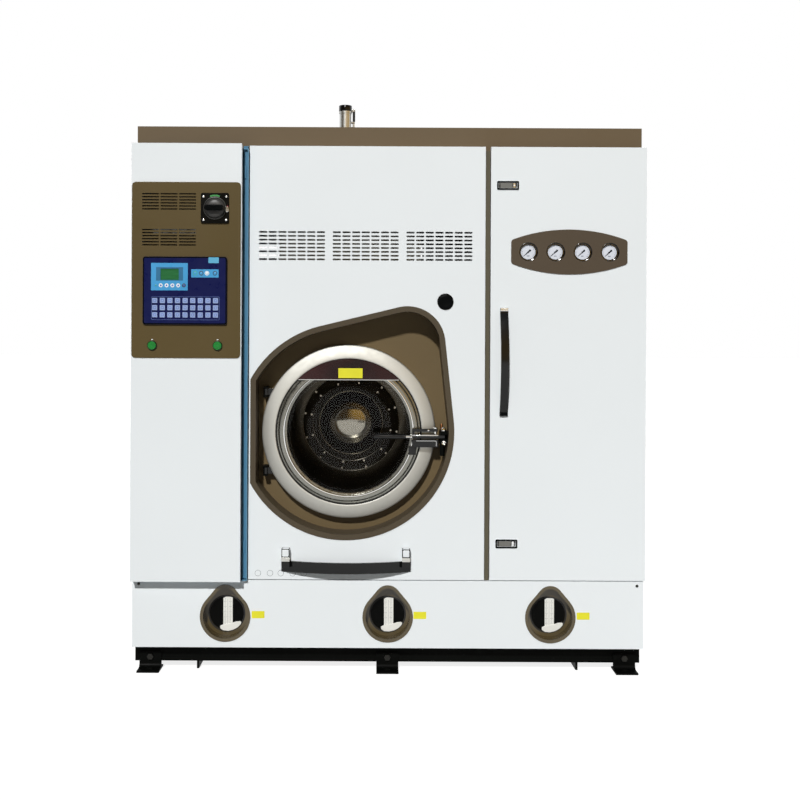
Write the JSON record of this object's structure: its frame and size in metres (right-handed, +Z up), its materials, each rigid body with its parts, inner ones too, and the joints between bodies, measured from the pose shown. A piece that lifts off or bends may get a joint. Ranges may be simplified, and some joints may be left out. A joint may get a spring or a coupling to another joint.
{
  "type": "dry cleaning machine",
  "caption": "Free-standing front loading dry cleaning machine with a glazed drum door, control cabinet, service door, gauges and solvent sight glasses over a skid base.",
  "frame": {"origin": "on the floor, at the centre of the four corner anchor holes", "axes": "+X to the machine's right seen from the front, front faces -Y, +Z up"},
  "size_m": [1.798, 1.2403, 2.048],
  "materials": {
    "white_panel": "glossy bluish white enamel",
    "brown_paint": "satin brown enamel",
    "black_paint": "semi gloss black enamel",
    "blue_paint": "satin steel blue",
    "machine_paint": "blue grey machine enamel",
    "stainless": "satin stainless steel",
    "bright_steel": "polished stainless steel",
    "zinc_steel": "zinc plated",
    "cast_metal": "machined casting",
    "cast_aluminium": "satin clear coated",
    "copper_pipe": "copper and brass pipe",
    "dark_glass": "dark tinted toughened glass",
    "sight_glass": "thick borosilicate glass",
    "black_rubber": "matt",
    "black_plastic": "glossy moulded plastic",
    "grey_plastic": "matt moulded plastic",
    "navy_film": "printed polyester keypad film",
    "green_lens": "clear green moulded plastic"
  },
  "bodies": {
    "cabinet": {"base_frame": "black_paint", "anchor_feet": "black_paint", "foot_bolts": "zinc_steel", "tank_left": "stainless", "tank_center": "stainless", "tank_right": "stainless", "sight_collars": "brown_paint", "sight_glasses": "sight_glass", "skirt_panel": "white_panel", "cabinet_frame": "brown_paint", "top_cover": "brown_paint", "left_side_panel": "white_panel", "right_side_panel": "white_panel", "rear_panel": "white_panel", "center_panel": "white_panel", "recess_shroud": "brown_paint", "recess_floor": "brown_paint", "panel_plug": "black_plastic", "lower_handle": "black_plastic", "drum_housing": "stainless", "port_gasket": "black_rubber", "door_hinge_brackets": "black_paint", "latch_catch": "black_paint", "bearing_housing": "machine_paint", "drive_motor": "machine_paint", "drive_belts": "black_rubber", "air_duct": "zinc_steel", "blower": "machine_paint", "damper_cylinder": "stainless", "still": "stainless", "solvent_filter": "stainless", "condenser": "stainless", "solvent_pump": "machine_paint", "pipework": "copper_pipe", "gauge_bracket": "zinc_steel", "pressure_gauges": "bright_steel", "electrical_box": "blue_paint", "control_gear": "grey_plastic", "cabinet_hinges": "zinc_steel"},
    "drum": {"basket": "bright_steel", "basket_mouth": "bright_steel", "drum_shaft": "bright_steel", "drum_pulley": "cast_metal"},
    "motor_rotor": {"motor_pulley": "cast_metal"},
    "loading_door": {"door_ring": "cast_aluminium", "door_glass": "dark_glass"},
    "latch_arm": {"latch_lever": "bright_steel"},
    "lock_plunger": {"lock_pin": "bright_steel"},
    "control_door": {"electrical_door": "white_panel", "control_fascia": "brown_paint", "controller": "navy_film", "switch_plate": "black_plastic"},
    "main_switch": {"switch_knob": "black_plastic"},
    "button_left": {"push_button_left": "green_lens"},
    "button_right": {"push_button_right": "green_lens"},
    "bay_door": {"service_door": "white_panel", "gauge_plate": "brown_paint", "service_handle": "black_plastic"},
    "paddle_top": {"latch_paddle_top": "grey_plastic"},
    "paddle_bottom": {"latch_paddle_bottom": "grey_plastic"}
  },
  "joints": [
    {"name": "drum_spin", "type": "hinge", "parent": "cabinet", "child": "drum", "pos_m": [-0.1415, 0, 0.8426], "axis": [0, 1, 0], "continuous": true},
    {"name": "motor_spin", "type": "hinge", "parent": "cabinet", "child": "motor_rotor", "pos_m": [0.23, 0, 0.47], "axis": [0, 1, 0], "continuous": true},
    {"name": "loading_door_hinge", "type": "hinge", "parent": "cabinet", "child": "loading_door", "pos_m": [-0.4365, -0.512, 0.8426], "axis": [0, 0, -1], "range_deg": [0, 90]},
    {"name": "latch_arm_hinge", "type": "hinge", "parent": "loading_door", "child": "latch_arm", "pos_m": [0.166, -0.534, 0.828], "axis": [0, 0, 1], "range_deg": [0, 60]},
    {"name": "lock_plunger_slide", "type": "slide", "parent": "cabinet", "child": "lock_plunger", "axis": [0, 0, 1], "range_m": [0, 0.018]},
    {"name": "control_door_hinge", "type": "hinge", "parent": "cabinet", "child": "control_door", "pos_m": [-0.888, -0.602, 1], "axis": [0, 0, -1], "range_deg": [0, 110]},
    {"name": "main_switch_turn", "type": "hinge", "parent": "control_door", "child": "main_switch", "pos_m": [-0.6035, -0.64, 1.6215], "axis": [0, 1, 0], "range_deg": [0, 90]},
    {"name": "button_left_press", "type": "slide", "parent": "control_door", "child": "button_left", "axis": [0, 1, 0], "range_m": [0, 0.004], "stiffness_N_per_m": 400},
    {"name": "button_right_press", "type": "slide", "parent": "control_door", "child": "button_right", "axis": [0, 1, 0], "range_m": [0, 0.004], "stiffness_N_per_m": 400},
    {"name": "bay_door_hinge", "type": "hinge", "parent": "cabinet", "child": "bay_door", "pos_m": [0.895, -0.55, 1], "axis": [0, 0, 1], "range_deg": [0, 115]},
    {"name": "paddle_top_pull", "type": "hinge", "parent": "bay_door", "child": "paddle_top", "pos_m": [0.428, -0.573, 1.712], "axis": [0, 0, 1], "range_deg": [0, 40], "stiffness_Nm_per_rad": 0.05},
    {"name": "paddle_bottom_pull", "type": "hinge", "parent": "bay_door", "child": "paddle_bottom", "pos_m": [0.428, -0.573, 0.458], "axis": [0, 0, 1], "range_deg": [0, 40], "stiffness_Nm_per_rad": 0.05}
  ],
  "couplings": [
    {"joint": "motor_spin", "follows": "drum_spin", "ratio": 4.8703}
  ]
}
